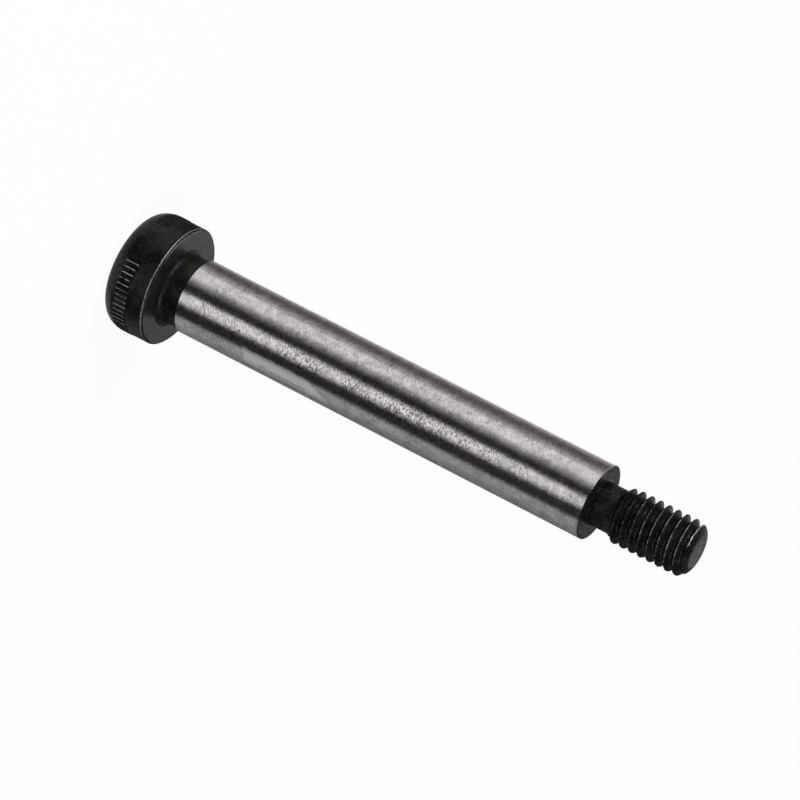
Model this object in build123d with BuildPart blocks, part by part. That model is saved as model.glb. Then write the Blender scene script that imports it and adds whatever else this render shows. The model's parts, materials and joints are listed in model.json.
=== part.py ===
"""Hexagon socket head shoulder screw: ground shoulder 8 f9 x 50 mm, thread M6 x 1.

One piece of alloy steel, turned, knurled, thread rolled, blackened and ground.
It stands on its head: the driving face lies on z = 0, the axis is +Z and the
thread points up. The bare patch of the knurl looks towards -X and -Y.
"""

import math
import os

from build123d import *

# ---------------------------------------------------------------- sizes, mm
# Ground shoulder, the surface that other parts turn or slide on
shoulder_dia = 7.97
shoulder_length = 50.0
shoulder_edge = 0.15

# Head
head_dia = 12.90
head_height = 5.32
head_round_radial = 1.50
head_round_axial = 1.80
rim_chamfer = 0.20

# Rolled knurl: its crests stand proud of the plain head, one patch is left bare
knurl_dia = 13.00
knurl_from_face = 2.00
knurl_length = 1.90
knurl_count = 66
knurl_bare_count = 8
knurl_bare_angle = 244.5
knurl_crest_flat = 0.07
knurl_flank_angle = 45.0

# Hexagon socket for a 4 mm key
key_across_flats = 4.0
key_clearance = 0.05
socket_depth = 3.40
socket_mouth_dia = 4.90
socket_mouth_angle = 30.0

# Grinding undercut between head and shoulder
undercut_dia = 7.50
undercut_length = 2.25
undercut_corner = 0.50

# Relief neck between shoulder and thread
relief_dia = 4.66
relief_length = 2.25

# M6 x 1 thread, right hand, length counted from the end of the shoulder
thread_dia = 5.87
thread_root_dia = 4.77
thread_pitch = 1.0
thread_length = 11.1
thread_root_flat = thread_pitch / 4
thread_flank_angle = 30.0
thread_lead_in = 0.615
thread_groove_overlap = 0.05
tip_dia = 4.00
tip_length = 1.10
tip_radius = 1.30
spare_length = 1.9

# ------------------------------------------------------------ derived sizes
shoulder_r = shoulder_dia / 2
head_r = head_dia / 2
knurl_r = knurl_dia / 2
socket_across_flats = key_across_flats + key_clearance
socket_mouth_r = socket_mouth_dia / 2
undercut_r = undercut_dia / 2
relief_r = relief_dia / 2
thread_r = thread_dia / 2
thread_root_r = thread_root_dia / 2
tip_r = tip_dia / 2

face_z = head_height
ground_z = face_z + undercut_length
shoulder_end_z = face_z + shoulder_length
thread_z = shoulder_end_z + relief_length
tip_z = shoulder_end_z + thread_length
blank_end_z = tip_z + spare_length
knurl_high_z = face_z - knurl_from_face
knurl_low_z = knurl_high_z - knurl_length
tool_overlap = 0.5


def sloped(height, angle):
    """Sideways reach of a flank that rises by height at angle from upright."""
    return height * math.tan(math.radians(angle))


# ------------------------------------------------ cutter of one knurl groove
# A sharp V between two crests, as long as the rolling wheel is wide
knurl_step_angle = 360 / knurl_count
knurl_arc = 360 - knurl_bare_count * knurl_step_angle
knurl_arc_start = knurl_bare_angle + (360 - knurl_arc) / 2
groove_width = math.pi * knurl_dia / knurl_count - knurl_crest_flat
groove_depth = groove_width / 2 / sloped(1, knurl_flank_angle)

with BuildPart() as knurl_groove:
    with BuildSketch(Plane.XY.offset(knurl_low_z)):
        Polygon(
            (knurl_r - groove_depth, 0),
            (knurl_r, -groove_width / 2),
            (knurl_r, groove_width / 2),
            align=None,
        )
    extrude(amount=knurl_length)

# ------------------------------------------------------------- the one piece
with BuildPart() as shoulder_bolt:
    # Turned blank, half outline from the driving face up past the thread end
    with BuildSketch(Plane.XZ):
        with BuildLine():
            Line((0, 0), (head_r - head_round_radial, 0))
            EllipticalCenterArc(
                center=(head_r - head_round_radial, head_round_axial),
                x_radius=head_round_radial,
                y_radius=head_round_axial,
                start_angle=270,
                arc_size=90,
            )
            Polyline(
                (head_r, head_round_axial),
                (head_r, face_z - rim_chamfer),
                (head_r - rim_chamfer, face_z),
                (undercut_r + undercut_corner, face_z),
                (undercut_r, face_z + undercut_corner),
                (undercut_r, ground_z),
                (shoulder_r, ground_z),
                (shoulder_r, shoulder_end_z - shoulder_edge),
                (shoulder_r - shoulder_edge, shoulder_end_z),
                (relief_r, shoulder_end_z),
                (relief_r, thread_z),
                (thread_r, thread_z + thread_r - relief_r),
                (thread_r, blank_end_z),
                (0, blank_end_z),
                (0, 0),
            )
        make_face()
    revolve(axis=Axis.Z)

    # Thread: one V groove from the air of the relief neck into the spare length
    helix_height = blank_end_z - tool_overlap - thread_z + thread_lead_in
    with BuildLine():
        helix = Helix(
            pitch=thread_pitch,
            height=helix_height,
            radius=thread_root_r,
            center=(0, 0, thread_z - thread_lead_in),
        )
    root_half = thread_root_flat / 2
    reach = thread_r - thread_root_r + thread_groove_overlap
    mouth_half = root_half + sloped(reach, thread_flank_angle)
    with BuildSketch(Plane(origin=helix @ 0, x_dir=(1, 0, 0), z_dir=helix % 0)):
        Polygon(
            (0, -root_half),
            (reach, -mouth_half),
            (reach, mouth_half),
            (0, root_half),
            align=None,
        )
    sweep(path=helix, is_frenet=True, mode=Mode.SUBTRACT)

    # Rounded tip: the spare length is turned off
    with BuildSketch(Plane.XZ):
        with BuildLine():
            RadiusArc((thread_r, tip_z - tip_length), (tip_r, tip_z), -tip_radius)
            Polyline(
                (tip_r, tip_z),
                (0, tip_z),
                (0, blank_end_z + tool_overlap),
                (thread_r + tool_overlap, blank_end_z + tool_overlap),
                (thread_r + tool_overlap, tip_z - tip_length),
                (thread_r, tip_z - tip_length),
            )
        make_face()
    revolve(axis=Axis.Z, mode=Mode.SUBTRACT)

    # Hexagon socket with its countersunk mouth
    with BuildSketch(Plane.XY):
        RegularPolygon(socket_across_flats / 2, 6, major_radius=False)
    extrude(amount=socket_depth, mode=Mode.SUBTRACT)
    with BuildSketch(Plane.XZ):
        Polygon(
            (0, 0),
            (socket_mouth_r, 0),
            (0, sloped(socket_mouth_r, socket_mouth_angle)),
            align=None,
        )
    revolve(axis=Axis.Z, mode=Mode.SUBTRACT)

    # Knurl: the metal pushed up by the wheel, then its grooves
    with BuildSketch(Plane.XZ.rotated((0, 0, knurl_arc_start))):
        Polygon(
            (head_r - tool_overlap, knurl_low_z),
            (knurl_r, knurl_low_z),
            (knurl_r, knurl_high_z),
            (head_r - tool_overlap, knurl_high_z),
            align=None,
        )
    revolve(axis=Axis.Z, revolution_arc=knurl_arc)
    with PolarLocations(
        radius=0,
        count=knurl_count - knurl_bare_count,
        start_angle=knurl_arc_start + knurl_step_angle / 2,
        angular_range=knurl_arc,
    ):
        add(knurl_groove.part, mode=Mode.SUBTRACT)

shoulder_bolt.part.label = "shoulder_bolt"
os.makedirs("parts", exist_ok=True)
export_step(shoulder_bolt.part, "parts/shoulder_bolt.step")
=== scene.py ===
# %% [markdown]
# # A blackened shoulder screw with a ground shoulder
#
# The real screw is one piece of alloy steel. A lathe turns its outline, a wheel
# rolls the knurl into the head, dies roll the thread, a black oxide bath colours
# all of it, and last a grinding wheel takes the colour off the shoulder. This
# lesson builds its skin from the socket, round the head and up to the thread's
# tip. Then come the effects that both finishes share, the black oxide, the
# ground steel, and last the stage, the lamps and the camera.
#
# The CAD frame gives the true size and place. It is loaded first, and its box is
# kept.

import json
import math

import bpy
from mathutils import Matrix, Vector

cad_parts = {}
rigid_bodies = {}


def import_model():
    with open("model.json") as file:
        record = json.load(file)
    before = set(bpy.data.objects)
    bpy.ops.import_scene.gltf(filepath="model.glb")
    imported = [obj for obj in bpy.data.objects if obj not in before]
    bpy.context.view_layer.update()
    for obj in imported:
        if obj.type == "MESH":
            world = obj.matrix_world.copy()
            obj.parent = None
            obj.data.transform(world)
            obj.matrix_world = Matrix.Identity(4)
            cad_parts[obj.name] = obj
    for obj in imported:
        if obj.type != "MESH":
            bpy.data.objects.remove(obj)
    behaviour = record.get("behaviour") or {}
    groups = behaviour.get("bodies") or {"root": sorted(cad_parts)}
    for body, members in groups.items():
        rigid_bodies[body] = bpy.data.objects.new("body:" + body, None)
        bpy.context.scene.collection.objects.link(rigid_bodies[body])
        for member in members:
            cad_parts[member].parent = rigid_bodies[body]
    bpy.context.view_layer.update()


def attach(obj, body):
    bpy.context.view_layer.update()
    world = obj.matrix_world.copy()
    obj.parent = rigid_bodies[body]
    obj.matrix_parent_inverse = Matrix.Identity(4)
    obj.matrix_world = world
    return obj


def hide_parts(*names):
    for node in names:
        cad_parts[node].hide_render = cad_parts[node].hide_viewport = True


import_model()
MM = 0.001

# %% [markdown]
# ## Sizes
#
# The screw stands on its head: the driving face is at height 0 and the thread
# points up. All sizes are in millimetres, as on a workshop drawing, and become
# metres only when the mesh is written. Heights are named after the place where
# one surface of the outline gives way to the next.

# %% Named sizes
HEAD_R, HEAD_H = 6.45, 5.32
HEAD_ROUND_R, HEAD_ROUND_H = 1.50, 1.80
RIM = 0.20
UNDERCUT_R, SHOULDER_R, RELIEF_R = 3.75, 3.985, 2.33
THREAD_R, ROOT_R = 2.935, 2.385
GROUND_Z, SHOULDER_Z, THREAD_Z, TIP_Z = 7.57, 55.32, 57.57, 66.42
TIP_LENGTH = 1.10
SOCKET_FLAT, SOCKET_DEPTH, MOUTH_R = 2.025, 3.40, 2.45
MOUTH_SLOPE = math.tan(math.radians(30))
KNURL_R, KNURL_LOW, KNURL_HIGH = 6.50, 1.42, 3.32
TEETH, BARE_TEETH, BARE_ANGLE = 66, 8, 244.5
print("Screw of", TIP_Z, "mm with a shoulder of", round(2 * SHOULDER_R, 2), "mm")

# %% [markdown]
# ## The outline as a lathe would cut it
#
# A turned part is a half outline spun round its axis. Blender's Screw modifier
# could spin it, but knurl and thread need every point's own angle, so the skin is
# built ring by ring. No real edge is perfectly sharp: even a deburred one has a
# radius of a few hundredths of a millimetre, and that tiny curve is what catches
# the light. One helper takes the corners of the outline, each with its own
# radius, and returns the rings in between. It also adds a ring just before and
# after each curve, so that smooth shading stays in the curve and the flat faces
# beside it stay flat. Each ring also says how hard it is rubbed, which the next
# step explains.

# %% Helper: corners with radii become rings
SUPPORT = 0.02


def untouched(turn):
    """The rubbing of a place that nothing touches, at any angle."""
    return 0.0


def turned(corners, steps=4):
    """Rings (radius, height, rubbed) from corners (radius, height, rounding, rubbed)."""
    rings = [(*corners[0][:2], untouched)]
    for before, here, after in zip(corners, corners[1:], corners[2:]):
        point = Vector(here[:2])
        back = (Vector(before[:2]) - point).normalized()
        on = (Vector(after[:2]) - point).normalized()
        rounding, rubbed = here[2], here[3] if len(here) > 3 else untouched
        if rounding == 0:
            rings.append((*point, rubbed))
            continue
        half = back.angle(on) / 2
        reach = rounding / math.tan(half)
        centre = point + (back + on).normalized() * rounding / math.sin(half)
        first = (point + back * reach - centre).normalized()
        last = (point + on * reach - centre).normalized()
        rings.append((*(point + back * (reach + SUPPORT)), untouched))
        for step in range(steps + 1):
            spot = centre + first.slerp(last, step / steps) * rounding
            rings.append((*spot, rubbed))
        rings.append((*(point + on * (reach + SUPPORT)), untouched))
    rings.append((*corners[-1][:2], untouched))
    return rings


corner_rings = turned([(0, 0, 0), (1, 0, 0.1), (1, 1, 0)])
print("A corner of 0.1 mm becomes", len(corner_rings) - 2, "rings")

# %% [markdown]
# ## Where hands and bins rub
#
# Black oxide is thin, so it wears off the edges first, but not all the way
# round: this screw lay and rolled on one side more than on the others. The wear
# could be painted on by hand, but a function gives the same wear on every run.
# `rub` describes one edge: how hard it is rubbed round one side, how hard
# elsewhere, and over what angle the one gives way to the other. Angles are
# counted about the axis from +X towards +Y.

# %% Helper: rubbing as a function of the angle
FULL_TURN = 2 * math.pi


def ease(value):
    """0 below 0, 1 above 1, and a smooth rise in between."""
    value = min(max(value, 0.0), 1.0)
    return value * value * (3 - 2 * value)


def rub(there, elsewhere, middle, reach, fade):
    """Rubbing: `there` within reach of the middle angle, then fading to `elsewhere`."""

    def rubbed(turn):
        away = abs((turn - math.radians(middle) + math.pi) % FULL_TURN - math.pi)
        share = ease(1 - (math.degrees(away) - reach) / fade)
        return elsewhere + (there - elsewhere) * share

    return rubbed


rim_outer = rub(1.0, 0.60, middle=222, reach=34, fade=24)
rim_inner = rub(0.70, 0.12, middle=222, reach=18, fade=22)
for degrees in (222, 300):
    print("Rim rubbed at", degrees, "degrees:", round(rim_outer(math.radians(degrees)), 2))

# %% [markdown]
# ## The mesh store
#
# Rings of points are added one after another and skinned to the ring before.
# Plain lists are enough for that, and they are quicker to fill than an edit mesh.
# The head needs many points to show the teeth of its knurl and the rest needs
# far fewer, so the skin can also join two rings with different numbers of
# points. Every point carries one number, "worn": how hard that place is rubbed,
# from 0 to 1. The black finish reads it later.

# %% Helpers: add a ring, skin two rings
points, skins, skin_finish, worn = [], [], [], []
OXIDE, GROUND = 0, 1


def add_ring(spots, wear):
    """Store a ring of (x, y, z) in mm; returns its indices."""
    start = len(points)
    points.extend(spots)
    worn.extend(wear if isinstance(wear, list) else [wear] * len(spots))
    return list(range(start, len(points)))


def skin(lower, upper, finish):
    """Quads between rings of one size, triangles between rings of two sizes."""
    many, few = len(lower), len(upper)
    if many == few:
        for i in range(many):
            k = (i + 1) % many
            skins.append((lower[i], lower[k], upper[k], upper[i]))
            skin_finish.append(finish)
        return
    i = j = 0
    while i < many or j < few:
        step_lower = (i + 0.5) / many <= (j + 0.5) / few
        a, b = lower[i % many], upper[j % few]
        if (step_lower and i < many) or j >= few:
            skins.append((a, lower[(i + 1) % many], b))
            i += 1
        else:
            skins.append((a, upper[(j + 1) % few], b))
            j += 1
        skin_finish.append(finish)


print("Numbers of the finishes: black oxide", OXIDE, "and ground steel", GROUND)

# %% Helpers: grow by one ring, close an end


def grow(lower, spots, wear, finish=OXIDE):
    """Add a ring and skin it to the ring before; returns the new ring."""
    upper = add_ring(spots, wear)
    skin(lower, upper, finish)
    return upper


def close(ring, height, upwards):
    """Fan from a ring to one point on the axis."""
    centre = add_ring([(0.0, 0.0, height)], 0.0)[0]
    for i in range(len(ring)):
        k = (i + 1) % len(ring)
        skins.append((ring[i], ring[k], centre) if upwards else (centre, ring[k], ring[i]))
        skin_finish.append(OXIDE)


print("The store is empty so far:", len(points), "points and", len(skins), "faces")

# %% [markdown]
# ## The angles of the points
#
# The body of the screw has 132 even steps, a multiple of six, so that each
# corner of the hexagon socket falls on a point. Each knurl tooth has eight
# points that are not evenly spaced: two close together on its narrow crest, two
# in the bottom of the groove and four on the flanks. That draws a crisp V with
# the fewest points.

# %% Angles round the body and round the head
BODY_STEPS = 132
body_turns = [i * FULL_TURN / BODY_STEPS for i in range(BODY_STEPS)]
TOOTH = FULL_TURN / TEETH
TOOTH_POINTS = (-0.46, -0.28, -0.12, -0.055, 0.055, 0.12, 0.28, 0.46)
FIRST_TOOTH = math.radians(BARE_ANGLE) + (BARE_TEETH / 2 + 0.5) * TOOTH
head_turns = [FIRST_TOOTH + (k + p) * TOOTH for k in range(TEETH) for p in TOOTH_POINTS]
head_turns = sorted(turn % FULL_TURN for turn in head_turns)
print("Points round the head:", len(head_turns), "and round the body:", len(body_turns))

# %% [markdown]
# ## The hexagon socket
#
# The socket is punched: six flat walls, a flat bottom and a 30 degree
# countersink at the mouth. A boolean could cut it, but would leave slivers round
# the mouth. The countersink is a cone, so where it meets the flats its edge dips
# in six shallow bows, and the rings get that for free: each point slides down
# the cone until it reaches the hexagon. A few rings lie close to the bottom's
# corner and keep it crisp.

# %% Helpers: a ring from functions, the hexagon and the cone


def ring_at(turns, radius, height):
    """A ring whose radius and height may be numbers or functions of the angle."""
    spots = []
    for turn in turns:
        r = radius(turn) if callable(radius) else radius
        z = height(turn) if callable(height) else height
        spots.append((r * math.cos(turn), r * math.sin(turn), z))
    return spots


def hexagon(turn):
    """Distance from the axis to the socket's wall at this angle."""
    return SOCKET_FLAT / math.cos(turn % (math.pi / 3) - math.pi / 6)


def cone_dip(turn):
    """Height at which the countersink meets the wall at this angle."""
    return (MOUTH_R - hexagon(turn)) * MOUTH_SLOPE


print("Countersink meets the flats", round(cone_dip(math.pi / 6), 2), "mm above the face")

# %% Socket rings
BOTTOM_SHARES = (0.9, 0.985, 1.0)
WALL_HEIGHTS = (SOCKET_DEPTH - 0.03, SOCKET_DEPTH / 2, 0.40)
MOUTH_REACH_AND_WEAR = ((0.0, 0.6), (0.5, 0.1), (1.0, 0.7))
ring = add_ring(ring_at(body_turns, lambda t: hexagon(t) * 0.5, SOCKET_DEPTH), 0.0)
close(ring, SOCKET_DEPTH, upwards=False)
for share in BOTTOM_SHARES:
    ring = grow(ring, ring_at(body_turns, lambda t: hexagon(t) * share, SOCKET_DEPTH), 0.0)
for height in WALL_HEIGHTS:
    ring = grow(ring, ring_at(body_turns, hexagon, height), 0.0)
for reach, wear in MOUTH_REACH_AND_WEAR:
    mouth = ring_at(
        body_turns,
        lambda t: hexagon(t) + (MOUTH_R - hexagon(t)) * reach,
        lambda t: cone_dip(t) * (1 - reach),
    )
    ring = grow(ring, mouth, wear)
print("Socket: across flats", 2 * SOCKET_FLAT, "mm, across corners", round(2 * hexagon(0), 2), "mm")

# %% [markdown]
# ## The head and its knurl
#
# The head is turned: a flat driving face, a quarter ellipse, a straight wall and
# a small chamfer at the rim. The knurling wheel then presses grooves into the
# wall, and the displaced metal rises into crests that stand 0.05 mm proud. The
# wheel's ends are slightly rounded, so each tooth fades over a short ramp at
# both ends, and no two teeth end at quite the same height. A patch as wide as
# eight teeth stays bare. A bump map could draw the grooves, but real ones break
# up the outline and the highlights, so they are pressed into the mesh.

# %% Knurl tooth as a function of angle and height
RAMP_LOW, RAMP_HIGH = 0.34, 0.16
RAGGED_LOW, RAGGED_HIGH = 0.14, 0.12
TOOTH_FLAT, RUBBED_FLAT = 0.056, 0.06
KNURL_DEPTH = 0.277
DULLEST_TOOTH = 0.55
knurl_rub = rub(0.85, 0.15, middle=292, reach=30, fade=40)
knurl_pitch = TOOTH * KNURL_R
bare_from = math.radians(BARE_ANGLE) - BARE_TEETH / 2 * TOOTH
bare_to = math.radians(BARE_ANGLE) + BARE_TEETH / 2 * TOOTH


def uneven(number):
    """A fixed value between 0 and 1 that jumps from one number to the next."""
    return math.sin(number * 12.9898 + 4.1) * 43758.5453 % 1.0


def knurl(turn, radius, height):
    """(radius, wear) of the head's wall with the teeth pressed in."""
    along = (turn - FIRST_TOOTH) / TOOTH
    tooth = round(along)
    low = KNURL_LOW + RAGGED_LOW * uneven(tooth)
    high = KNURL_HIGH - RAGGED_HIGH * uneven(tooth + 0.5)
    in_band = ease((height - low) / RAMP_LOW) * ease((high - height) / RAMP_HIGH)
    if in_band == 0 or bare_from < turn < bare_to:
        return radius, 0.0
    from_crest = 0.5 - abs(along % 1.0 - 0.5)
    drop = min(max(from_crest - TOOTH_FLAT, 0.0) * knurl_pitch, KNURL_DEPTH)
    wear = 0.0
    if from_crest < RUBBED_FLAT:
        wear = knurl_rub(turn) * (DULLEST_TOOTH + (1 - DULLEST_TOOTH) * uneven(tooth + 0.25))
    return radius + (KNURL_R - drop - radius) * in_band, wear * in_band


print("Knurl crest", KNURL_R, "mm, groove bottom", round(KNURL_R - KNURL_DEPTH, 3), "mm from the axis")

# %% Outline of the head from the driving face to the bearing face
FACE_MIDDLE_R, FACE_JOIN_R = 4.60, 5.90
ELLIPSE_STEPS = 14
BAND_MIDDLE = (2.0, 2.25, 2.5, 2.75, 3.0)
face_edge = HEAD_R - HEAD_ROUND_R


def wall_r(height):
    """Radius of the plain head at this height, ellipse included."""
    if height >= HEAD_ROUND_H:
        return HEAD_R
    return face_edge + HEAD_ROUND_R * math.sqrt(1 - (1 - height / HEAD_ROUND_H) ** 2)


head_rings = [(FACE_MIDDLE_R, 0.0, untouched), (face_edge - 0.05, 0.0, untouched)]
for step in range(ELLIPSE_STEPS + 1):
    lean = step / ELLIPSE_STEPS * math.pi / 2
    ellipse_r = face_edge + HEAD_ROUND_R * math.sin(lean)
    ellipse_z = HEAD_ROUND_H * (1 - math.cos(lean))
    if ellipse_z < KNURL_LOW - 0.03:
        head_rings.append((ellipse_r, ellipse_z, untouched))
band = [KNURL_LOW + RAMP_LOW * s / 6 for s in range(7)]
band += BAND_MIDDLE
band += [KNURL_HIGH - RAMP_HIGH * s / 4 for s in range(4, -1, -1)]
head_rings += [(wall_r(z), z, untouched) for z in band]
head_rings += turned(
    [
        (HEAD_R, KNURL_HIGH + 0.02, 0),
        (HEAD_R, HEAD_H - RIM, 0.08, rim_outer),
        (HEAD_R - RIM, HEAD_H, 0.05, rim_inner),
        (FACE_JOIN_R, HEAD_H, 0),
    ]
)
print("Rings of the head:", len(head_rings), "of which through the knurl:", len(band))

# %% Head rings with the knurl pressed in
for radius, height, rubbed in head_rings:
    shaped = [knurl(turn, radius, height) for turn in head_turns]
    spots = [(r * math.cos(t), r * math.sin(t), height) for t, (r, _) in zip(head_turns, shaped)]
    wear = [max(rubbed(turn), crest) for turn, (_, crest) in zip(head_turns, shaped)]
    ring = grow(ring, spots, wear)
print("Faces of socket and head:", len(skins))

# %% [markdown]
# ## Bearing face, undercut, shoulder and relief neck
#
# Between head and shoulder a narrow neck gives the grinding wheel room to run
# out. It flows into the bearing face in a fillet, because a sharp corner there
# would crack under load. The shoulder is 8 mm nominal with a running fit, and
# only its wall is ground bright: the small curves at its two ends stay black. A
# second neck in front of the thread lets the thread start cleanly. A bevel
# modifier would round every edge alike, so each corner is listed here with a
# radius of its own.

# %% Outline of the body up to the thread
BODY_JOIN_R = 5.55
UNDERCUT_FILLET, UNDERCUT_CORNER, RELIEF_FILLET = 0.60, 0.06, 0.14
SHOULDER_EDGE = 0.08
FIRST_BAND_Z, BAND_STEP, BANDS = 9.0, 3.0, 14
shoulder_end = rub(0.95, 0.05, middle=222, reach=20, fade=30)
body_rings = turned(
    [
        (BODY_JOIN_R, HEAD_H, 0),
        (UNDERCUT_R, HEAD_H, UNDERCUT_FILLET),
        (UNDERCUT_R, GROUND_Z, UNDERCUT_CORNER),
        (SHOULDER_R, GROUND_Z, SHOULDER_EDGE),
        (SHOULDER_R, FIRST_BAND_Z, 0),
    ],
    steps=6,
)
body_rings += [(SHOULDER_R, FIRST_BAND_Z + BAND_STEP * s, untouched) for s in range(1, BANDS + 1)]
body_rings += turned(
    [
        (SHOULDER_R, SHOULDER_Z - BAND_STEP / 2, 0),
        (SHOULDER_R, SHOULDER_Z, SHOULDER_EDGE, shoulder_end),
        (RELIEF_R, SHOULDER_Z, RELIEF_FILLET),
        (RELIEF_R, THREAD_Z, 0),
    ],
    steps=5,
)
print("Rings of the body:", len(body_rings))

# %% Body rings, ground on the shoulder's wall and black elsewhere
HAIR = 0.001
ground_low, ground_high = GROUND_Z + SHOULDER_EDGE, SHOULDER_Z - SHOULDER_EDGE
for radius, height, rubbed in body_rings:
    on_wall = radius > SHOULDER_R - HAIR and ground_low < height < ground_high + HAIR
    wear = [rubbed(turn) for turn in body_turns]
    ring = grow(ring, ring_at(body_turns, radius, height), wear, GROUND if on_wall else OXIDE)
print("Ground faces:", skin_finish.count(GROUND), "of", len(skins), "so far")

# %% [markdown]
# ## The rolled thread
#
# Rolling dies squeeze the metal, they do not cut it, so a rolled thread has
# full round roots and round crests. The thread is right-handed with a pitch of
# 1 mm: going once round, the crest climbs 1 mm. A profile swept along a helix
# would need to be joined to the necks at both ends. Here each point of a level
# ring takes its radius from its own place along the helix instead, so that necks,
# thread and tip are one skin. Two arcs joined by the 30 degree flanks describe
# the form, and the tip's curve and the start chamfer cut the crests down where
# the thread fades.

# %% Thread form
PITCH, CREST_START = 1.0, 55.455
CREST_ROUND, ROOT_ROUND = 0.0996, 0.2165
FLANK = 1 / math.tan(math.radians(30))
crest_edge = CREST_ROUND * math.cos(math.radians(30))
root_edge = ROOT_ROUND * math.cos(math.radians(30))


def thread_form(turn, height):
    """Radius of the endless thread at this angle and height."""
    along = (height - CREST_START - turn / FULL_TURN) % PITCH
    from_crest = min(along, PITCH - along)
    if from_crest < crest_edge:
        return THREAD_R - CREST_ROUND + math.sqrt(CREST_ROUND**2 - from_crest**2)
    from_root = PITCH / 2 - from_crest
    if from_root < root_edge:
        return ROOT_R + ROOT_ROUND - math.sqrt(ROOT_ROUND**2 - from_root**2)
    return THREAD_R + CREST_ROUND - from_crest * FLANK


print("Flank meets the crest", round(crest_edge, 3), "mm from its middle")

# %% The limits that the start chamfer and the tip's dome set
THREAD_END_Z = TIP_Z - TIP_LENGTH
TIP_FLAT_R, DOME_POWER = 1.65, 1.75
BLEND = 0.06


def end_limit(height):
    """Radius left by the start chamfer and by the tip's dome."""
    limit = RELIEF_R + max(height - THREAD_Z, 0.0)
    if height > THREAD_END_Z:
        up = min((height - THREAD_END_Z) / TIP_LENGTH, 1.0)
        out = (1 - up**DOME_POWER) ** (1 / DOME_POWER)
        limit = min(limit, TIP_FLAT_R + (THREAD_R - TIP_FLAT_R) * out)
    return limit


def softest(a, b):
    """The smaller of two radii, with the corner between them rounded."""
    near = max(BLEND - abs(a - b), 0.0) / BLEND
    return min(a, b) - near * near * BLEND / 4


print("Dome from", THREAD_R, "mm to a flat of", TIP_FLAT_R, "mm over", TIP_LENGTH, "mm")

# %% [markdown]
# ## Wear on the thread
#
# The crests are rubbed on the side that the screw lay on, and more towards the
# tip, where it meets nuts and other screws. The first turn lies in the shelter
# of the relief neck and stays black. On the tip the edge between dome and thread
# is rubbed, and the shine spreads over the dome but stops at once in the grooves.

# %% Wear as a function of angle and height
CREST_RUBBED, FIRST_RUBBED_Z = 0.03, 58.6
FIRST_CREST_WEAR = 0.62
DOME_EDGE, GROOVE_EDGE, DOME_FADE = 0.56, 0.06, 0.25
crest_rub = rub(0.64, 0.42, middle=250, reach=32, fade=35)
dome_rub = rub(1.00, 0.05, middle=225, reach=30, fade=28)


def crest_wear(turn, height, radius):
    """Wear of a crest: none on the first turn, most near the tip."""
    past_start = ease((height - FIRST_RUBBED_Z) / PITCH)
    towards_tip = (height - THREAD_Z) / (TIP_Z - THREAD_Z)
    share = FIRST_CREST_WEAR + (1 - FIRST_CREST_WEAR) * towards_tip
    return ease((radius - THREAD_R) / CREST_RUBBED + 1) * past_start * share * crest_rub(turn)


def dome_wear(turn, height):
    """Wear beside the dome's edge, wide on the dome and narrow in the grooves."""
    beyond = thread_form(turn, height) - end_limit(height)
    nearness = 1 - beyond / DOME_EDGE if beyond > 0 else 1 + beyond / GROOVE_EDGE
    return ease((height - THREAD_END_Z) / DOME_FADE) * ease(nearness) * dome_rub(turn)


print("Dome worn at 225 degrees, half way up:", round(dome_wear(math.radians(225), TIP_Z - 0.5), 2))

# %% Thread rings and the rounded tip
ROWS_PER_PITCH, ARC_STEPS = 24, 30
TIP_FLAT_SHARES = (0.97, 0.85, 0.5)
rows = int((THREAD_END_Z - THREAD_Z) * ROWS_PER_PITCH)
heights = [THREAD_Z + (THREAD_END_Z - THREAD_Z) * s / rows for s in range(1, rows + 1)]
for step in range(1, ARC_STEPS + 1):
    lean = step / ARC_STEPS * math.pi / 2
    heights.append(THREAD_END_Z + TIP_LENGTH * math.sin(lean) ** (2 / DOME_POWER))
for height in heights:
    radii = [softest(thread_form(turn, height), end_limit(height)) for turn in body_turns]
    spots = [(r * math.cos(t), r * math.sin(t), height) for t, r in zip(body_turns, radii)]
    wear = [max(crest_wear(t, height, r), dome_wear(t, height)) for t, r in zip(body_turns, radii)]
    ring = grow(ring, spots, wear)
for share in TIP_FLAT_SHARES:
    ring = grow(ring, ring_at(body_turns, TIP_FLAT_R * share, TIP_Z), 0.0)
close(ring, TIP_Z, upwards=True)
print("Thread rings:", len(heights), "faces in all:", len(skins))

# %% [markdown]
# ## From lists to one piece
#
# The lists become one closed mesh. It replaces the CAD solid and rides on the same
# body. Edges steeper than about 35 degrees, such as the corners of the hexagon,
# are marked sharp, and all else is smooth.

# %% Write the mesh
SHARP = math.radians(35)
mesh = bpy.data.meshes.new("dressed_screw")
mesh.from_pydata([(x * MM, y * MM, z * MM) for x, y, z in points], [], skins)
mesh.validate(verbose=False)
mesh.polygons.foreach_set("use_smooth", [True] * len(mesh.polygons))
mesh.polygons.foreach_set("material_index", skin_finish)
mesh.attributes.new("worn", "FLOAT", "POINT").data.foreach_set("value", worn)
mesh.set_sharp_from_angle(angle=SHARP)
mesh.update()
screw = bpy.data.objects.new("dressed_screw", mesh)
bpy.context.scene.collection.objects.link(screw)
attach(screw, "root")
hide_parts("shoulder_bolt")
triangles = sum(len(face.vertices) - 2 for face in mesh.polygons)
print("Dressed screw:", len(mesh.vertices), "points,", triangles, "triangles")

# %% [markdown]
# ## Shared effects as node groups
#
# Both finishes need to know where on the screw they are, in height and in angle.
# Both also carry fine rings: the marks of turning and grinding are long round
# the axis and very short along it. And both are mottled in soft patches, because
# the screw was handled. Painted images would need an unwrapped mesh and would
# blur up close, so noise in the object's own space makes all of them. Each is a
# node group that is built once and then placed with its own values. So are the
# worn edges, bright but never even: the shine comes and goes along the edge.

# %% Helpers: a node, sums and a smooth ramp


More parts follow.
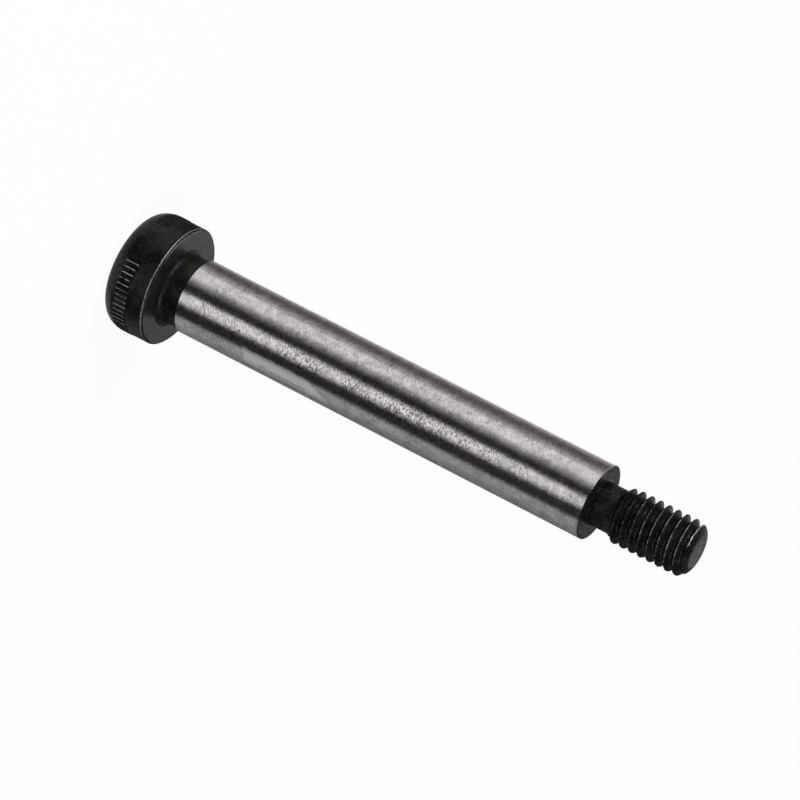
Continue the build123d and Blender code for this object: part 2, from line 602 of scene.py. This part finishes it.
def add(tree, kind, inputs=(), **settings):
    """A node with settings, and inputs given as {socket: value or output}."""
    node = tree.nodes.new(kind)
    for name, value in settings.items():
        setattr(node, name, value)
    for socket, value in dict(inputs).items():
        if isinstance(value, bpy.types.NodeSocket):
            tree.links.new(value, node.inputs[socket])
        else:
            node.inputs[socket].default_value = value
    return node


def sums(tree, operation, first, second=0.0, clamp=False):
    """Output of a Math node."""
    node = add(tree, "ShaderNodeMath", {0: first, 1: second}, operation=operation)
    node.use_clamp = clamp
    return node.outputs[0]


def times(tree, first, *others):
    """All values multiplied."""
    for other in others:
        first = sums(tree, "MULTIPLY", first, other)
    return first


def plus(tree, first, *others):
    """All values added."""
    for other in others:
        first = sums(tree, "ADD", first, other)
    return first


def ramp(tree, value, low, high, start=0.0, end=1.0):
    """A value moved smoothly from start to end between low and high."""
    node = add(tree, "ShaderNodeMapRange", {0: value, 1: low, 2: high, 3: start, 4: end})
    node.interpolation_type = "SMOOTHSTEP"
    return node.outputs[0]


print("Node helpers:", [helper.__name__ for helper in (add, sums, times, plus, ramp)])

# %% Helpers: noise, the place in millimetres, a new group


def noise(tree, place, scale, **looks):
    """Output of a Noise node at this place, with settings such as Detail."""
    return add(tree, "ShaderNodeTexNoise", {"Vector": place, "Scale": scale, **looks}).outputs[0]


def place_in_mm(tree):
    """The object's own position, in millimetres."""
    place = add(tree, "ShaderNodeTexCoord").outputs["Object"]
    grown = add(tree, "ShaderNodeVectorMath", {0: place, "Scale": 1 / MM}, operation="SCALE")
    return grown.outputs[0]


def new_group(name, inputs, outputs):
    """An empty shader group with float sockets, and its two end nodes."""
    tree = bpy.data.node_groups.new(name, "ShaderNodeTree")
    for socket, value in inputs.items():
        made = tree.interface.new_socket(socket, in_out="INPUT", socket_type="NodeSocketFloat")
        made.default_value = value
    for socket in outputs:
        tree.interface.new_socket(socket, in_out="OUTPUT", socket_type="NodeSocketFloat")
    return tree, tree.nodes.new("NodeGroupInput"), tree.nodes.new("NodeGroupOutput")


print("Helpers for groups:", [helper.__name__ for helper in (noise, place_in_mm, new_group)])


# %% Group: height and angle on the screw
def build_on_screw():
    """Height in mm, and angle about the axis in degrees from 0 to 360."""
    tree, _, out = new_group("on the screw", {}, ["Height", "Angle"])
    x, y, z = add(tree, "ShaderNodeSeparateXYZ", {0: place_in_mm(tree)}).outputs
    turn = sums(tree, "ARCTAN2", y, x)
    once_round = {0: times(tree, turn, 180 / math.pi), 1: 360.0, 2: 0.0}
    degrees = add(tree, "ShaderNodeMath", once_round, operation="WRAP").outputs[0]
    tree.links.new(z, out.inputs["Height"])
    tree.links.new(degrees, out.inputs["Angle"])
    return tree


on_screw = build_on_screw()
print("Group:", on_screw.name)

# %% Group: turning and grinding marks
AXIS_R = 0.05


def build_ring_marks():
    """Marks long round the axis and short along it, on walls and faces alike."""
    tree, given, out = new_group("ring marks", {"Fineness": 40.0, "Length": 6.0}, ["Mark"])
    x, y, z = add(tree, "ShaderNodeSeparateXYZ", {0: place_in_mm(tree)}).outputs
    radius = sums(tree, "SQRT", plus(tree, times(tree, x, x), times(tree, y, y)))
    safe = sums(tree, "MAXIMUM", radius, AXIS_R)
    around_x = times(tree, sums(tree, "DIVIDE", x, safe), given.outputs["Length"])
    around_y = times(tree, sums(tree, "DIVIDE", y, safe), given.outputs["Length"])
    across = times(tree, plus(tree, z, radius), given.outputs["Fineness"])
    where = add(tree, "ShaderNodeCombineXYZ", {0: around_x, 1: around_y, 2: across}).outputs[0]
    tree.links.new(noise(tree, where, 1.0, Detail=4.0, Roughness=0.65), out.inputs["Mark"])
    return tree


ring_marks = build_ring_marks()
print("Group:", ring_marks.name)


# %% Group: soft mottling
def build_mottle():
    """Soft patches of handling and fine speckles."""
    tree, given, out = new_group("mottle", {"Patch": 0.5, "Speckle": 6.0}, ["Patches", "Speckles"])
    place = place_in_mm(tree)
    soft = {"Detail": 5.0, "Roughness": 0.6, "Distortion": 0.6}
    patches = noise(tree, place, given.outputs["Patch"], **soft)
    speckles = noise(tree, place, given.outputs["Speckle"], Detail=3.0, Roughness=0.7)
    tree.links.new(patches, out.inputs["Patches"])
    tree.links.new(speckles, out.inputs["Speckles"])
    return tree


mottle = build_mottle()
print("Group:", mottle.name)

# %% Group: worn edges
BREAK_DEPTH, WEAR_SOFTNESS = 1.6, 0.35
LEAST_WORN, PLAINLY_WORN = 0.05, 0.3


def build_edge_wear():
    """1 where an edge is rubbed bright, broken up along its length."""
    tree, given, out = new_group("edge wear", {"Amount": 0.6, "Breaks": 2.5}, ["Worn"])
    rubbed = add(tree, "ShaderNodeAttribute", attribute_name="worn").outputs["Fac"]
    breaks = noise(tree, place_in_mm(tree), given.outputs["Breaks"], Detail=4.0, Roughness=0.7)
    waver = times(tree, sums(tree, "SUBTRACT", breaks, 0.5), BREAK_DEPTH)
    level = plus(tree, sums(tree, "SUBTRACT", 1.0, given.outputs["Amount"]), waver)
    full = plus(tree, level, WEAR_SOFTNESS)
    bright = add(tree, "ShaderNodeMapRange", {0: rubbed, 1: level, 2: full}).outputs[0]
    shown = times(tree, bright, ramp(tree, rubbed, LEAST_WORN, PLAINLY_WORN))
    tree.links.new(shown, out.inputs["Worn"])
    return tree


edge_wear = build_edge_wear()
print("Group:", edge_wear.name)

# %% [markdown]
# ## Black oxide
#
# Black oxide is not paint. It is a skin of magnetite a thousandth of a
# millimetre thick, so the machining marks stay visible. The skin itself hardly
# shines. Oil seals it, and the oil gives the soft grey sheen. A dark colour with
# one gloss would look like plastic, so the oil is a clear coat of its own, whose
# weight changes over the surface. Flat faces keep more oil than the walls, and
# it lies in specks, clouds and rings. In the two necks the bath dried in patches
# with an olive cast. Where the oxide is rubbed through, bare steel shows: there
# the colour turns bright and the surface metallic.

# %% Helpers: place a group, mix colours, cut a window


def place_group(tree, group, **values):
    """A node of this group with its own values."""
    node = add(tree, "ShaderNodeGroup", node_tree=group)
    for name, value in values.items():
        node.inputs[name].default_value = value
    return node


def mixed(tree, factor, first, second):
    """Colour between first and second by factor."""
    node = add(tree, "ShaderNodeMix", {0: factor}, data_type="RGBA")
    for socket, colour in ((6, first), (7, second)):
        if isinstance(colour, bpy.types.NodeSocket):
            tree.links.new(colour, node.inputs[socket])
        else:
            node.inputs[socket].default_value = (*colour, 1.0)
    return node.outputs[2]


def window(tree, value, low, high, soft_low, soft_high):
    """1 between low and high, fading over the two soft widths."""
    rise = ramp(tree, value, low, low + soft_low)
    fall = ramp(tree, value, high - soft_high, high, 1.0, 0.0)
    return times(tree, rise, fall)


def new_material(name):
    """A material, its nodes and its Principled shader."""
    material = bpy.data.materials.new(name)
    material.use_nodes = True
    return material, material.node_tree, material.node_tree.nodes["Principled BSDF"]


print("More node helpers:", [h.__name__ for h in (place_group, mixed, window, new_material)])

# %% Black oxide: the colour of the skin
BLACK_DEEP, BLACK_WARM = (0.0032, 0.0024, 0.0027), (0.0165, 0.0130, 0.0138)
OLIVE = (0.0140, 0.0125, 0.0088)
UNDERCUT_SPAN = (HEAD_H, GROUND_Z, 0.6, 0.1)
RELIEF_SPAN = (SHOULDER_Z, THREAD_Z, 0.1, 0.6)
DRIED_ANGLES = (175, 275.5, 15, 25)


def oxide_colour(tree, patches, speckles, height, angle):
    """Mottled black, olive where the bath dried in the two necks."""
    tone = plus(tree, times(tree, patches, 0.6), times(tree, speckles, 0.4))
    black = mixed(tree, ramp(tree, tone, 0.42, 0.66), BLACK_DEEP, BLACK_WARM)
    undercut = window(tree, height, *UNDERCUT_SPAN)
    relief_neck = window(tree, height, *RELIEF_SPAN)
    in_necks = plus(tree, undercut, relief_neck)
    blots = ramp(tree, patches, 0.40, 0.60)
    dried = times(tree, in_necks, blots, window(tree, angle, *DRIED_ANGLES))
    return mixed(tree, dried, black, OLIVE)


print("Olive in the necks from", DRIED_ANGLES[0], "to", DRIED_ANGLES[1], "degrees")

# %% Black oxide: the film of oil
# The head's levels give way to the thread end's between END_FROM and END_TO
HEAD_OIL_WALL, HEAD_OIL_FACE, HEAD_UNEVEN = 0.34, 1.10, 0.5
END_OIL_WALL, END_OIL_FACE, END_UNEVEN = 0.28, 0.40, 1.0
END_FROM, END_TO = 40.0, 50.0
TIP_OIL, TIP_FROM, TIP_TO = 1.00, 62.0, 65.0
DROP_MIDDLE = (0.45, 0.10, TIP_Z)
DROP_EDGE, DROP_END, DROP_REST = 1.55, 1.95, 0.3
FACE_TILT, FACE_FLAT = 0.985, 0.9995


def oil_on_tip(tree, place, patches, height):
    """More oil on the tip's flat, in one ragged drop beside its middle."""
    more = ramp(tree, height, TIP_FROM, TIP_TO, 0.0, TIP_OIL - END_OIL_FACE)
    away = add(tree, "ShaderNodeVectorMath", {0: place, 1: DROP_MIDDLE}, operation="DISTANCE")
    ragged = plus(tree, away.outputs["Value"], patches)
    return times(tree, more, ramp(tree, ragged, DROP_EDGE, DROP_END, 1.0, DROP_REST))


def oil_film(tree, marks, patches, speckles, height):
    """How much oil lies here: the level of faces and walls, times specks, clouds and rings."""
    normal = add(tree, "ShaderNodeTexCoord").outputs["Normal"]
    upright = add(tree, "ShaderNodeSeparateXYZ", {0: normal}).outputs[2]
    on_face = ramp(tree, sums(tree, "ABSOLUTE", upright), FACE_TILT, FACE_FLAT)
    face_oil = ramp(tree, height, END_FROM, END_TO, HEAD_OIL_FACE, END_OIL_FACE)
    face_oil = plus(tree, face_oil, oil_on_tip(tree, place_in_mm(tree), patches, height))
    wall_oil = ramp(tree, height, END_FROM, END_TO, HEAD_OIL_WALL, END_OIL_WALL)
    level = times(tree, on_face, sums(tree, "SUBTRACT", face_oil, wall_oil))
    level = plus(tree, level, wall_oil)
    specks = ramp(tree, speckles, 0.40, 0.60, 0.30, 1.75)
    clouds = ramp(tree, patches, 0.38, 0.62, 0.82, 1.15)
    rings = ramp(tree, marks, 0.40, 0.60, 0.50, 1.45)
    uneven_oil = sums(tree, "SUBTRACT", times(tree, specks, clouds, rings), 1.0)
    share = ramp(tree, height, END_FROM, END_TO, HEAD_UNEVEN, END_UNEVEN)
    uneven_oil = plus(tree, times(tree, uneven_oil, share), 1.0)
    return sums(tree, "MULTIPLY", level, uneven_oil, clamp=True)


print("Oil on the head's faces", HEAD_OIL_FACE, "and on its walls", HEAD_OIL_WALL)

# %% Material: black oxide
BARE_STEEL, BARE_SHARE = (0.50, 0.48, 0.47), 0.70
OXIDE_ROUGH, BARE_SMOOTHER = 0.50, 0.15
OXIDE_SHINE, OIL_ROUGH, OIL_IOR = 0.02, 0.38, 1.5
OXIDE_RELIEF = 0.02 * MM


def make_black_oxide():
    """Oxide and oil, with bare steel where the wear has gone through."""
    material, tree, skin_node = new_material("black_oxide")
    marks = place_group(tree, ring_marks, Fineness=7.0, Length=5.0).outputs["Mark"]
    mottling = place_group(tree, mottle, Patch=0.55, Speckle=4.5)
    patches, speckles = mottling.outputs["Patches"], mottling.outputs["Speckles"]
    where = place_group(tree, on_screw)
    height, angle = where.outputs["Height"], where.outputs["Angle"]
    rubbed = place_group(tree, edge_wear, Amount=0.62, Breaks=2.6).outputs["Worn"]
    rubbed = times(tree, rubbed, BARE_SHARE)

    black = oxide_colour(tree, patches, speckles, height, angle)
    tree.links.new(mixed(tree, rubbed, black, BARE_STEEL), skin_node.inputs["Base Color"])
    tree.links.new(rubbed, skin_node.inputs["Metallic"])
    smoother = sums(tree, "SUBTRACT", OXIDE_ROUGH, times(tree, rubbed, BARE_SMOOTHER))
    rough = plus(tree, smoother, sums(tree, "SUBTRACT", speckles, 0.5))
    tree.links.new(rough, skin_node.inputs["Roughness"])
    skin_node.inputs["Specular IOR Level"].default_value = OXIDE_SHINE

    oil = oil_film(tree, marks, patches, speckles, height)
    tree.links.new(oil, skin_node.inputs["Coat Weight"])
    skin_node.inputs["Coat Roughness"].default_value = OIL_ROUGH
    skin_node.inputs["Coat IOR"].default_value = OIL_IOR

    relief = plus(tree, times(tree, marks, 0.6), times(tree, speckles, 0.8))
    rough_skin = {"Height": relief, "Strength": 0.75, "Distance": OXIDE_RELIEF}
    bump = add(tree, "ShaderNodeBump", rough_skin)
    tree.links.new(bump.outputs[0], skin_node.inputs["Normal"])
    return material


black_oxide = make_black_oxide()
print("Material:", black_oxide.name, "with", len(black_oxide.node_tree.nodes), "nodes")

# %% [markdown]
# ## Ground steel
#
# The grinding wheel leaves bright steel with hair-fine rings round the shoulder.
# Light spreads along the axis, across those rings, and stays narrow round it,
# which is why a ground bar shows straight bright and dark stripes. Such rings
# are far too fine for a mesh, so the shader's anisotropy gives that spread. On
# top of it lie the traces of use, each a mask of its own: flecks that sparkle
# and gather in clusters, clusters of tiny dark pits, and on one side a pale
# stain where a finger or a drop touched the steel, with a dark smear inside it.

# %% Ground steel: flecks in clusters
SPARKLE_ANGLES = (262.5, 298.5, 8.0, 8.0)
BUSY_LOW, BUSY_HIGH = (13.0, 25.5, 3.0, 3.0), (30.5, 42.5, 3.0, 3.0)
FLECK_STRENGTH = 4.2


def gathered(tree, clusters, height, angle):
    """How thick the flecks lie: in clusters, most on one side and at two heights."""
    busy = times(tree, window(tree, height, *BUSY_HIGH), 0.55)
    busy = plus(tree, window(tree, height, *BUSY_LOW), busy)
    side = window(tree, angle, *SPARKLE_ANGLES)
    sparkle = times(tree, side, ramp(tree, busy, 0.0, 1.0, 0.45, 1.0))
    clustered = ramp(tree, clusters, 0.40, 0.56, 0.35, 1.0)
    return times(tree, clustered, ramp(tree, sparkle, 0.0, 1.0, 0.42, 2.2))


def steel_tone(tree, marks, patches, speckles, clustered):
    """0 for the darkest steel and 1 for the lightest: soft patches plus flecks."""
    fleck = plus(tree, times(tree, marks, 0.9), times(tree, speckles, 0.4))
    fleck = times(tree, sums(tree, "SUBTRACT", fleck, 0.65), clustered, FLECK_STRENGTH)
    tone = plus(tree, sums(tree, "SUBTRACT", patches, 0.5), fleck)
    return sums(tree, "ADD", tone, 0.5, clamp=True)


print("Flecks sparkle from", SPARKLE_ANGLES[0], "to", SPARKLE_ANGLES[1], "degrees")

# %% Ground steel: the stain, the smear in it and the pits
STAIN_LOW, STAIN_HIGH, STAIN_SLANT = 15.9, 23.6, 0.11
STAIN_ANGLES = (304.5, 336.5, 3.0, 6.0)
STAIN_EDGE, STAIN_END = 0.25, 0.8
BEND_HEIGHT, BEND_ANGLE = 2.2, 10.0
SMEAR_ANGLES, SMEAR_HEIGHTS = (325.0, 330.5, 1.5, 1.5), (17.6, 23.6, 0.5, 0.5)
PIT_ANGLES = (248.5, 268.5, 5.0, 5.0)
PIT_SCALE = 5.0


def stain_mask(tree, bent_height, bent_angle, angle):
    """1 inside the stain: square at its low end, slanting at its high end."""
    slant = times(tree, sums(tree, "SUBTRACT", angle, STAIN_ANGLES[0]), STAIN_SLANT)
    end = sums(tree, "SUBTRACT", bent_height, slant)
    start = ramp(tree, bent_height, STAIN_LOW, STAIN_LOW + STAIN_EDGE)
    end = ramp(tree, end, STAIN_HIGH - STAIN_END, STAIN_HIGH, 1.0, 0.0)
    return times(tree, start, end, window(tree, bent_angle, *STAIN_ANGLES))


def smear_mask(tree, bent_height, bent_angle, speckles):
    """1 in a narrow streak along the stain, broken up by the speckles."""
    streak = window(tree, bent_angle, *SMEAR_ANGLES)
    streak = times(tree, streak, window(tree, bent_height, *SMEAR_HEIGHTS))
    return times(tree, streak, ramp(tree, speckles, 0.42, 0.58, 0.2, 0.9))


def pit_mask(tree, place, clusters, angle):
    """1 in tiny pits, which gather in clusters and mostly on one side."""
    pits = noise(tree, place, PIT_SCALE, Detail=2.0)
    side = ramp(tree, window(tree, angle, *PIT_ANGLES), 0.0, 1.0, 0.35, 1.0)
    pitted = times(tree, ramp(tree, pits, 0.54, 0.62), side)
    return times(tree, pitted, ramp(tree, clusters, 0.46, 0.58))


print("Stain from", STAIN_LOW, "to", STAIN_HIGH, "mm and more up its slanting end")

# %% Material: ground steel
STEEL_DARK, STEEL_LIGHT = (0.16, 0.151, 0.152), (0.94, 0.888, 0.896)
STAIN_COLOUR, PIT_COLOUR = (0.86, 0.83, 0.83), (0.30, 0.28, 0.28)
CLUSTER_SCALE, WAVE_SCALE = 0.16, 1.1
STEEL_SMOOTH, STEEL_ROUGH, STAIN_ROUGHER = 0.19, 0.27, 0.10
SPREAD, QUARTER_TURN = 0.6, 0.25
GROUND_RELIEF = 0.02 * MM


def make_ground_steel():
    """Bright steel whose highlight spreads along the axis, with its traces of use."""
    material, tree, skin_node = new_material("ground_steel")
    place = place_in_mm(tree)
    where = place_group(tree, on_screw)
    height, angle = where.outputs["Height"], where.outputs["Angle"]
    marks = place_group(tree, ring_marks, Fineness=11.0, Length=11.0).outputs["Mark"]
    mottling = place_group(tree, mottle, Patch=0.9, Speckle=5.0)
    patches, speckles = mottling.outputs["Patches"], mottling.outputs["Speckles"]
    clusters = noise(tree, place, CLUSTER_SCALE, Detail=2.0)
    clustered = gathered(tree, clusters, height, angle)

    bend = sums(tree, "SUBTRACT", patches, 0.5)
    bent_height = plus(tree, height, times(tree, bend, BEND_HEIGHT))
    bent_angle = plus(tree, angle, times(tree, bend, BEND_ANGLE))
    stain = stain_mask(tree, bent_height, bent_angle, angle)
    smear = smear_mask(tree, bent_height, bent_angle, speckles)
    dark_marks = sums(tree, "MAXIMUM", pit_mask(tree, place, clusters, angle), smear)

    tone = steel_tone(tree, marks, patches, speckles, clustered)
    steel = mixed(tree, tone, STEEL_DARK, STEEL_LIGHT)
    steel = mixed(tree, stain, steel, STAIN_COLOUR)
    steel = mixed(tree, dark_marks, steel, PIT_COLOUR)
    tree.links.new(steel, skin_node.inputs["Base Color"])
    rough = ramp(tree, speckles, 0.3, 0.7, STEEL_SMOOTH, STEEL_ROUGH)
    rough = plus(tree, rough, times(tree, stain, STAIN_ROUGHER))
    tree.links.new(rough, skin_node.inputs["Roughness"])
    skin_node.inputs["Metallic"].default_value = 1.0
    skin_node.inputs["Anisotropic"].default_value = SPREAD
    skin_node.inputs["Anisotropic Rotation"].default_value = QUARTER_TURN
    lay = add(tree, "ShaderNodeTangent", direction_type="RADIAL", axis="Z")
    tree.links.new(lay.outputs[0], skin_node.inputs["Tangent"])

    waves = noise(tree, place, WAVE_SCALE, Detail=5.0, Roughness=0.75)
    relief = times(tree, marks, clustered, 0.35)
    relief = plus(tree, relief, times(tree, speckles, 0.22), waves)
    ground_skin = {"Height": relief, "Strength": 0.60, "Distance": GROUND_RELIEF}
    bump = add(tree, "ShaderNodeBump", ground_skin)
    tree.links.new(bump.outputs[0], skin_node.inputs["Normal"])
    return material


ground_steel = make_ground_steel()
mesh.materials.append(black_oxide)
mesh.materials.append(ground_steel)
print("Finishes on the screw:", [m.name for m in mesh.materials])

# %% [markdown]
# ## Stage
#
# A plain pale floor carries the screw. More lamps could make it white, but they
# would wash out the screw too. So to the camera, to glossy and to clear surfaces
# it glows at a strength of 1, which is white, and a small share of it stays
# matt, so that it keeps the screw's shadow. The world behind it does the same:
# white where it is looked at, and a low, even light everywhere else.

# %% Helpers for the stage
FLOOR_HALF = 4.0


def looked_at(tree):
    """1 for what the camera, a glossy or a clear surface looks at, 0 for other light."""
    path = add(tree, "ShaderNodeLightPath")
    direct = sums(tree, "MAXIMUM", path.outputs["Is Camera Ray"], path.outputs["Is Glossy Ray"])
    return sums(tree, "MAXIMUM", direct, path.outputs["Is Transmission Ray"])


def flat_piece(name, corners, material):
    """A flat stage piece from its corners in metres."""
    sheet = bpy.data.meshes.new(name)
    sheet.from_pydata(corners, [], [tuple(range(len(corners)))])
    sheet.materials.append(material)
    piece = bpy.data.objects.new(name, sheet)
    bpy.context.scene.collection.objects.link(piece)
    return piece


def square(half, height):
    """Corners of a level square round the axis."""
    return [(-half, -half, height), (half, -half, height), (half, half, height), (-half, half, height)]


print("The floor's corners in m:", square(FLOOR_HALF, 0))

# %% Floor
FLOOR_TONE, FLOOR_GLOW = 0.9, 0.94
floor_finish, floor_tree, floor_skin = new_material("pale_floor")
floor_skin.inputs["Base Color"].default_value = (FLOOR_TONE, FLOOR_TONE, FLOOR_TONE, 1.0)
floor_skin.inputs["Roughness"].default_value = 0.9
floor_skin.inputs["Specular IOR Level"].default_value = 0.0
white = add(floor_tree, "ShaderNodeEmission", {"Color": (1, 1, 1, 1), "Strength": 1.0})
glow_share = times(floor_tree, looked_at(floor_tree), FLOOR_GLOW)
floor_mix = {0: glow_share, 1: floor_skin.outputs[0], 2: white.outputs[0]}
floor_look = add(floor_tree, "ShaderNodeMixShader", floor_mix)
floor_tree.links.new(floor_look.outputs[0], floor_tree.nodes["Material Output"].inputs[0])
flat_piece("stage_floor", square(FLOOR_HALF, 0), floor_finish)
print("Floor", 2 * FLOOR_HALF, "m wide, matt share", round(1 - FLOOR_GLOW, 2))

# %% World
AMBIENT = 0.35
world = bpy.data.worlds.new("studio")
bpy.context.scene.world = world
world.use_nodes = True
world_tree = world.node_tree
world_back = world_tree.nodes["Background"]
world_back.inputs["Color"].default_value = (1, 1, 1, 1)
world_level = ramp(world_tree, looked_at(world_tree), 0.0, 1.0, AMBIENT, 1.0)
world_tree.links.new(world_level, world_back.inputs["Strength"])
print("White behind, ambient light", AMBIENT)

# %% [markdown]
# ## Cards for the reflections
#
# Bright metal only looks like metal when it has something to reflect. A studio
# sets white and black cards round it, and here it is the same: eighteen cards in
# greys from black to white stand round the screw like slices of a cake, with
# white gaps between some of them. Each is a wedge on the floor that points at
# the axis and turns up at its far end. In the shoulder each becomes one straight
# stripe along the axis, which a plain square card could not do. A dark card
# hangs over them as a ceiling, for the faces that look up. The cards show only
# in reflections, so they throw no shadows.

# %% Helpers for the cards
CARD_NEAR, CARD_FAR, CARD_UP = 0.0072, 1.6, 1.4
CARD_LIFT = 0.0004
CEILING_HALF, CEILING_LEVEL, DARK_CARD = 1.7, 0.10, 0.2


def card_finish(level):
    """A card that shows as this grey in a reflection; the dark ones are a warm grey."""
    finish, tree, _ = new_material("card_" + str(round(level * 100)))
    colour = (1, 1, 1, 1) if level > DARK_CARD else (1.0, 0.90, 0.92, 1)
    glow = add(tree, "ShaderNodeEmission", {"Color": colour, "Strength": level})
    tree.links.new(glow.outputs[0], tree.nodes["Material Output"].inputs[0])
    return finish


def reflection_only(card):
    """Hide a card from everything except glossy reflections."""
    card.visible_camera = card.visible_diffuse = card.visible_shadow = False
    card.visible_transmission = card.visible_volume_scatter = False


def wedge_card(from_angle, to_angle, level):
    """A wedge on the floor that turns up at its far end; 0 faces -Y, + is towards +X."""
    count = max(1, round((to_angle - from_angle) / 10))
    finish = card_finish(level)
    lift, rise = Vector((0, 0, CARD_LIFT)), Vector((0, 0, CARD_UP))
    for i in range(count):
        ends = [math.radians(from_angle + (to_angle - from_angle) * k / count) for k in (i, i + 1)]
        sides = [Vector((math.sin(a), -math.cos(a), 0)) for a in ends]
        near = [side * CARD_NEAR + lift for side in sides]
        far = [side * CARD_FAR + lift for side in sides]
        flat = (near[0], far[0], far[1], near[1])
        end = (far[0], far[0] + rise, far[1] + rise, far[1])
        for part, spots in (("flat", flat), ("end", end)):
            name = "card_" + part + "_" + str(round(from_angle)) + "_" + str(i)
            reflection_only(flat_piece(name, [tuple(s) for s in spots], finish))


print("A card reaches from", CARD_NEAR, "to", CARD_FAR, "m and turns up by", CARD_UP, "m")

# %% Cards
# Each is (from angle, to angle, level): 0 degrees faces -Y, and level 1 is white
CARDS = [
    (-150, -128, 0.36), (-128, -98, 0.155), (-98, -88, 0.28), (-88, -76, 0.50),
    (-42, -34, 0.56), (-34, -27, 0.33), (-27, -20, 0.13), (-20, 2, 0.02), (2, 6, 0.25),
    (30, 37, 0.60), (37, 42, 0.16), (42, 73, 0.01), (73, 79, 0.20),
    (79, 110, 0.42), (110, 128, 0.29), (128, 150, 0.22), (150, 180, 0.20), (180, 210, 1.00),
]
for from_angle, to_angle, level in CARDS:
    wedge_card(from_angle, to_angle, level)
facing_down = square(CEILING_HALF, CARD_UP)[::-1]
reflection_only(flat_piece("card_ceiling", facing_down, card_finish(CEILING_LEVEL)))
print("Cards:", len(CARDS), "in", len({level for _, _, level in CARDS}), "greys, and a ceiling")

# %% [markdown]
# ## Lamps
#
# Soft light from large panels, as in a product studio: one broad panel above and
# to the side, one weaker from the other side. Small lamps would draw hard spots
# on the black head. Their level is plain: a mid grey card beside the screw would
# come out as about that same grey.

# %% Soft panels
PANEL_WIDTH = 1.0


def soft_panel(name, place, power):
    """A square lamp at this place that faces the screw."""
    light = bpy.data.lights.new(name, "AREA")
    light.energy, light.size = power, PANEL_WIDTH
    lamp = bpy.data.objects.new(name, light)
    lamp.location = place
    lamp.rotation_euler = (-Vector(place)).to_track_quat("-Z", "Y").to_euler()
    bpy.context.scene.collection.objects.link(lamp)


soft_panel("panel_key", (-0.9, -0.6, 1.3), 18.0)
soft_panel("panel_fill", (1.1, -0.5, 1.0), 9.0)

# %% [markdown]
# ## Camera
#
# A long lens about 0.4 m away looks down at the standing screw by 20.5 degrees.
# A wide lens from close by would make the near thread look bigger than it is.
# The camera is rolled on its side, so that the screw runs across the frame from
# the head at the upper left to the thread at the lower right.

# %% Camera
LENS, SENSOR = 187.32, 36.0
CAMERA_PLACE = Vector((-0.0538, -386.010, 176.350)) * MM
PITCH_DOWN, ROLL = math.radians(20.488), math.radians(117.115)
forward = Vector((0.0, math.cos(PITCH_DOWN), -math.sin(PITCH_DOWN)))
level_right = Vector((1.0, 0.0, 0.0))
level_up = Vector((0.0, math.sin(PITCH_DOWN), math.cos(PITCH_DOWN)))
right = level_right * math.cos(ROLL) + level_up * math.sin(ROLL)
up = level_up * math.cos(ROLL) - level_right * math.sin(ROLL)
turned_to = Matrix((right, up, -forward)).transposed().to_4x4()
camera = bpy.data.objects.new("camera", bpy.data.cameras.new("camera"))
camera.data.lens, camera.data.sensor_width = LENS, SENSOR
camera.data.clip_start, camera.data.clip_end = 0.01, 20.0
camera.matrix_world = Matrix.Translation(CAMERA_PLACE) @ turned_to
bpy.context.scene.collection.objects.link(camera)
bpy.context.scene.camera = camera
bpy.context.scene.view_settings.view_transform = "Standard"
print("Camera", round(CAMERA_PLACE.length, 3), "m from the foot of the screw")
